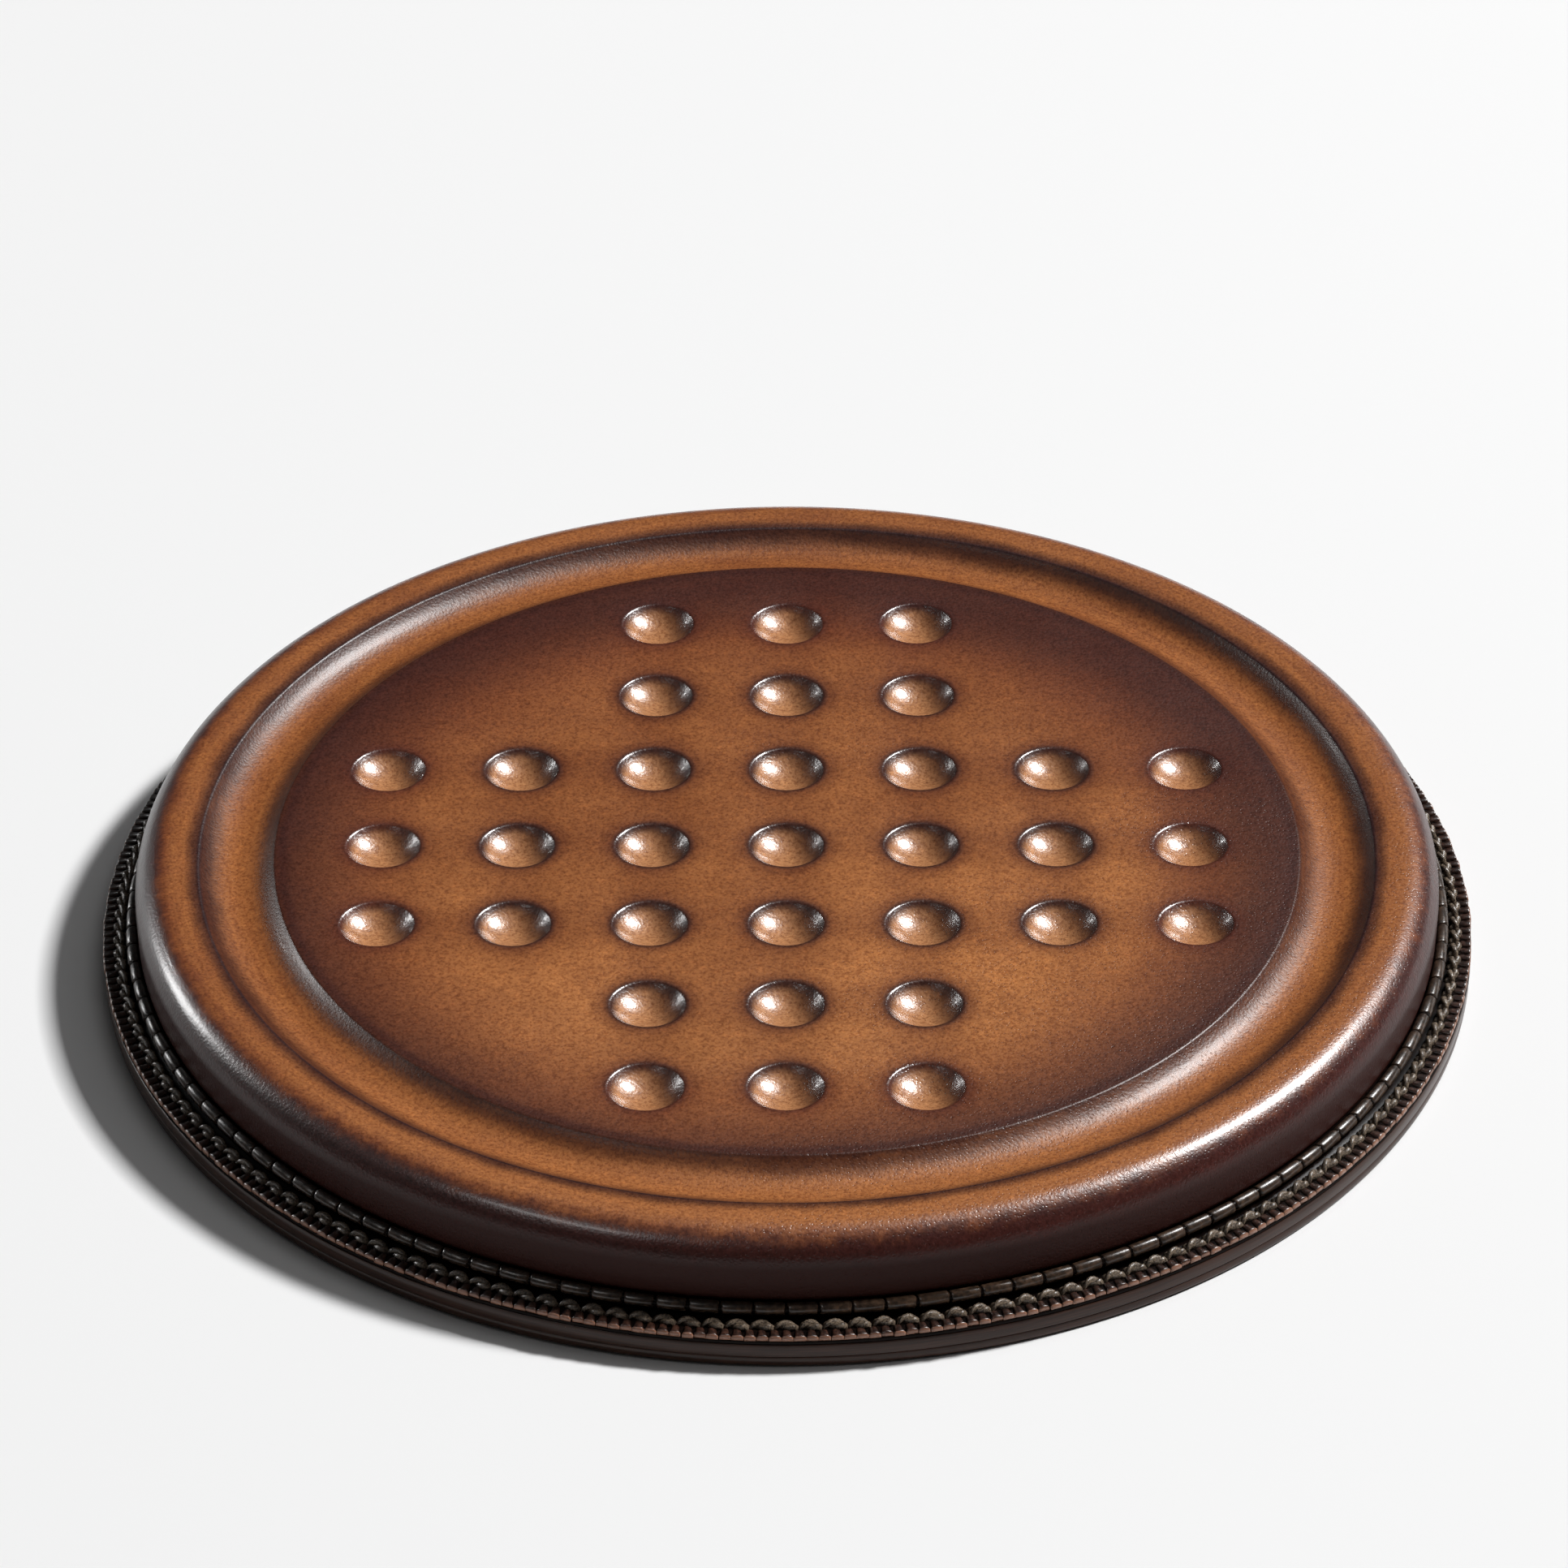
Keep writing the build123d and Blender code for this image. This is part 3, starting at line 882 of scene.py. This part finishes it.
# %% One rib of the wheeled edge
def rib():
    """One pressed rib: a narrow ridge from the thread out, ending in a wide, turned-down lip."""
    bm = bmesh.new()
    pitch = 2 * math.pi * WELT_EDGE / (2 * STITCH_COUNT)
    reach = WELT_EDGE - RIB_INNER + 0.34 * MM
    lean = 0.10
    sections = []
    for out, rise, spread in (
        (0.0, -0.10, 0.56),
        (0.15, 0.20, 0.62),
        (0.62, 0.16, 0.70),
        (0.82, 0.22, 0.88),
        (0.93, 0.16, 0.98),
        (1.0, -0.22, 0.96),
    ):
        section = []
        for side in (-0.5, -0.36, 0.0, 0.36, 0.5):
            height = rise * MM - 0.42 * MM * (2 * side) ** 4
            along = side * pitch * spread + lean * out * reach
            section.append(bm.verts.new((out * reach, along, height)))
        sections.append(section)
    for first, second in zip(sections, sections[1:]):
        for i in range(4):
            bm.faces.new((first[i], second[i], second[i + 1], first[i + 1]))
    deep = -0.95 * MM
    floor = [
        bm.verts.new((corner.co.x, corner.co.y, deep))
        for corner in (sections[0][0], sections[-1][0], sections[-1][4], sections[0][4])
    ]
    bm.faces.new([floor[0], floor[3]] + list(reversed(sections[0])))
    bm.faces.new([floor[1]] + sections[-1] + [floor[2]])
    bm.faces.new([floor[0]] + [section[0] for section in sections] + [floor[1]])
    bm.faces.new([floor[3], floor[2]] + [section[-1] for section in reversed(sections)])
    bm.faces.new(floor)
    bmesh.ops.recalc_face_normals(bm, faces=bm.faces)
    return keep(bm, "one_rib", rib_leather)


# %% The welt with its wheeled edge
welt_strip = welt_ring()
ribs = repeat_round(
    "wheeled_edge",
    rib(),
    rib_leather,
    Count=2 * STITCH_COUNT,
    Radius=RIB_INNER,
    Level=WELT_TOP - 0.05 * MM,
    Slant=0.0,
    Wander=0.12 * MM,
    Unevenness=0.06,
)
for piece in (welt_strip, ribs):
    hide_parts("welt")
    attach(piece, "root")

# %% [markdown]
# The lock-stitches. Each is a thick waxed thread of two strands that twist round each other, dives
# at both ends, and lies a little askew in its groove.


# %% Waxed thread
def waxed_thread():
    b = Bench("waxed_thread", 0.34, specular=0.6)
    fibre = b.noise(2600.0, 3.0, 0.7)
    worn = b.noise(300.0, 2.0)
    colour = b.mix(b.fade(fibre, 0.34, 0.62), dye(34, 26, 21), dye(128, 112, 95))
    colour = b.mix(b.fade(worn, 0.45, 0.7, 0.0, 0.45), colour, dye(44, 34, 27))
    return b.finish(colour, None, b.bump(fibre, 0.10 * MM, 0.8))


thread = waxed_thread()


# %% One lock-stitch of two strands
def strand_rings(bm, start):
    """Rings of vertices along one strand, which starts at that angle of the twist."""
    length, strand, sides, steps = 4.9 * MM, 0.78 * MM, 7, 10
    rings = []
    for i in range(steps + 1):
        share = i / steps
        twist = start + share * 1.5 * math.pi
        dip = -1.3 * MM * abs(2 * share - 1) ** 4
        outward = 0.58 * MM * math.cos(twist)
        level = 0.40 * MM * math.sin(twist) + dip
        centre = Vector((outward, (share - 0.5) * length, level))
        ring = []
        for k in range(sides):
            turn = 2 * math.pi * k / sides + twist
            spoke = Vector((strand * math.cos(turn), 0.0, strand * math.sin(turn)))
            ring.append(bm.verts.new(centre + spoke))
        rings.append(ring)
    return rings


def one_stitch():
    bm = bmesh.new()
    for start in (0.0, math.pi):
        rings = strand_rings(bm, start)
        for first, second in zip(rings, rings[1:]):
            for k in range(len(first)):
                m = (k + 1) % len(first)
                bm.faces.new((first[k], first[m], second[m], second[k]))
        bm.faces.new(rings[0])
        bm.faces.new(list(reversed(rings[-1])))
    bmesh.ops.recalc_face_normals(bm, faces=bm.faces)
    return keep(bm, "one_stitch", thread)


# %% The seam
stitches = repeat_round(
    "lock_stitches",
    one_stitch(),
    thread,
    Count=STITCH_COUNT,
    Radius=STITCH_RADIUS,
    Level=WELT_TOP + 0.22 * MM,
    Slant=math.radians(-9),
    Wander=0.2 * MM,
    Unevenness=0.07,
)
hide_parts("welt_stitches")
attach(stitches, "root")

# %% [markdown]
# Midsole and outsole. Their common edge is planed, inked and burnished, so it shines softly, and
# the join between the layers is only a faint line. Each is a lathe with its edge slightly bulged. The
# finish is drawn out in fine lines round the edge, as the layers of the hide show there.


# %% Burnished finish of the sole's edge
def burnished_edge():
    b = Bench("burnished_edge", 0.30, specular=0.26, coat=0.05, coat_roughness=0.16)
    x, y, z = b.parts()
    around = b.math("ARCTAN2", y, x)
    lines = b.noise(1.0, 3.0, 0.6, place=b.vector(b.times(z, 2600.0), b.times(around, 9.0), 0.0))
    fleck = b.noise(1500.0, 2.0, 0.6)
    colour = b.mix(b.fade(lines, 0.35, 0.7), dye(44, 27, 20), dye(64, 40, 30))
    colour = b.mix(b.fade(fleck, 0.74, 0.80), colour, dye(120, 84, 62))
    height = b.math("ADD", lines, b.times(fleck, 0.2))
    return b.finish(colour, None, b.bump(height, 0.03 * MM, 0.5))


sole_edge = burnished_edge()


# %% One layer of the sole
def sole_layer(name, low, high, edge_radius, bottom_round, material):
    bm = bmesh.new()
    seam, bulge, middle_ring = 0.1 * MM, 0.04 * MM, 2 * MM
    points = [(middle_ring, low), (edge_radius - bottom_round - 4 * MM, low)]
    points += arc(edge_radius - bottom_round, low + bottom_round, bottom_round, -90, 0, 5)
    points += [(edge_radius + bulge, (low + high) / 2), (edge_radius, high - seam)]
    points += [(edge_radius - seam, high), (middle_ring, high)]
    rings = lathe(bm, points, 300)
    cap(bm, rings[0], low)
    cap(bm, rings[-1], high)
    bmesh.ops.recalc_face_normals(bm, faces=bm.faces)
    return keep(bm, name, material)


# %% Midsole and outsole
SOLE_EDGE = midsole_high.x - 0.30 * MM
sole = {
    "midsole": (midsole_low.z, midsole_high.z, SOLE_EDGE, 0.22 * MM),
    "outsole": (outsole_low.z, outsole_high.z, SOLE_EDGE - 0.1 * MM, 0.8 * MM),
}
layers = {node: sole_layer(node + "_layer", *sizes, sole_edge) for node, sizes in sole.items()}
for node, piece in layers.items():
    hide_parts(node)
    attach(piece, "root")

# %% [markdown]
# What never shows still gets its own finish: the beech core, the natural insole, cork, iron tacks
# and the linen of the inseam. Their shape in the frame is right, so they stay as they are, and only
# the material in their slot is changed.


# %% Hidden pieces
def plain_grain(name, low, high, scale, roughness, metallic=0.0):
    b = Bench(name, roughness)
    b.shader.inputs["Metallic"].default_value = metallic
    grain = b.noise(scale, 4.0, 0.6)
    return b.finish(b.mix(b.fade(grain, 0.35, 0.7), low, high), None, b.bump(grain, 0.1 * MM, 0.4))


hidden = {
    "turned_core": plain_grain("turned_beech", dye(176, 138, 96), dye(206, 172, 126), 160.0, 0.6),
    "insole_board": plain_grain("natural_insole", dye(178, 140, 100), dye(204, 168, 126), 500.0, 0.7),
    "cork_filler": plain_grain("pressed_cork", dye(120, 80, 48), dye(186, 140, 92), 420.0, 0.85),
    "lasting_tacks": plain_grain("blued_iron", dye(50, 50, 54), dye(84, 84, 90), 900.0, 0.4, 1.0),
    "inseam_stitches": plain_grain("linen_thread", dye(176, 160, 130), dye(208, 194, 166), 2000.0, 0.7),
}
for node, material in hidden.items():
    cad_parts[node].material_slots[0].material = material
print("Hidden pieces finished:", ", ".join(hidden))

# %% [markdown]
# The stage is a plain pale floor that keeps the board's shadow.


# %% Floor
def pale_floor():
    b = Bench("pale_floor", 0.9, specular=0.0)
    return b.finish(dye(244, 244, 244))


FLOOR_SIZE = 30.0
FLOOR_GAP = 0.2 * MM
bpy.ops.mesh.primitive_plane_add(size=FLOOR_SIZE, location=(0, 0, outsole_low.z - FLOOR_GAP))
floor = bpy.context.active_object
floor.name = "floor"
floor.data.materials.append(pale_floor())

# %% [markdown]
# Waxed leather shows every lamp twice: as light on the dye and as a glint on the wax. In the studio
# the two can't be parted, but here they can. The key from the right and the wide fill overhead light
# the board and leave no glint. The other four leave only glints, each where the photograph has one:
# the sheen on the front right of the shoulder and in the gutter, a spark in the hollows, the streak
# down the left flank, and a faint line over the front left. The world adds a little light all round.


# %% Lights
def softbox(name, direction, distance, width, height, power, glint):
    """A soft lamp that looks at the board; with glint it is only mirrored, without it only lights."""
    data = bpy.data.lights.new(name, "AREA")
    data.shape = "RECTANGLE"
    data.size = width
    data.size_y = height
    data.energy = power
    lamp = bpy.data.objects.new(name, data)
    scene.collection.objects.link(lamp)
    way = Vector(direction).normalized()
    lamp.location = way * distance
    lamp.rotation_mode = "QUATERNION"
    lamp.rotation_quaternion = way.to_track_quat("Z", "Y")
    lamp.visible_glossy = glint
    lamp.visible_diffuse = not glint
    print("Lamp", name, "at", round(distance, 1), "m,", round(power), "W")


softbox("key", (0.653, 0.207, 0.728), 12.0, 1.35, 1.35, 1755.0, glint=False)
softbox("sheen", (0.485, 0.39, 0.775), 4.8, 1.3, 1.3, 380.0, glint=True)
softbox("fill", (0.35, 0.05, 0.93), 4.8, 4.0, 3.6, 27.0, glint=False)
softbox("spark", (-0.67, 0.60, 0.44), 4.8, 0.13, 0.13, 9.0, glint=True)
softbox("left_strip", (-0.83, 0.46, 0.31), 3.2, 0.62, 0.9, 44.0, glint=True)
softbox("front_left", (-0.46, -0.43, 0.77), 4.8, 1.7, 0.5, 26.0, glint=True)

# %% World
world = bpy.data.worlds.new("studio")
scene.world = world
world.use_nodes = True
background = world.node_tree.nodes["Background"]
background.inputs["Color"].default_value = dye(250, 250, 250)
background.inputs["Strength"].default_value = 0.03

# %% [markdown]
# The camera of the photograph. Its place, its turn and its lens were fitted to the hollows, the
# disc, the gutter, the rim and the sole, so that all of them lie over their images in the photograph.

# %% Camera
CAMERA_TARGET = Vector((-0.00066, 0.02354, 0.0254))
CAMERA_DISTANCE = 1.6845
CAMERA_AZIMUTH = math.radians(0.2186)
CAMERA_ELEVATION = math.radians(34.4335)
CAMERA_ROLL = math.radians(-0.2267)
CAMERA_LENS = 175.06

back = Vector(
    (
        math.sin(CAMERA_AZIMUTH) * math.cos(CAMERA_ELEVATION),
        -math.cos(CAMERA_AZIMUTH) * math.cos(CAMERA_ELEVATION),
        math.sin(CAMERA_ELEVATION),
    )
)
right = Vector((0, 0, 1)).cross(back).normalized()
up = back.cross(right)
rolled_right = right * math.cos(CAMERA_ROLL) + up * math.sin(CAMERA_ROLL)
rolled_up = up * math.cos(CAMERA_ROLL) - right * math.sin(CAMERA_ROLL)
camera_data = bpy.data.cameras.new("camera")
camera_data.sensor_width = 36.0
camera_data.lens = CAMERA_LENS
camera = bpy.data.objects.new("camera", camera_data)
scene.collection.objects.link(camera)
camera.matrix_world = Matrix.Translation(CAMERA_TARGET + back * CAMERA_DISTANCE) @ Matrix(
    (rolled_right, rolled_up, back)
).transposed().to_4x4()
scene.camera = camera
scene.view_settings.view_transform = "Standard"
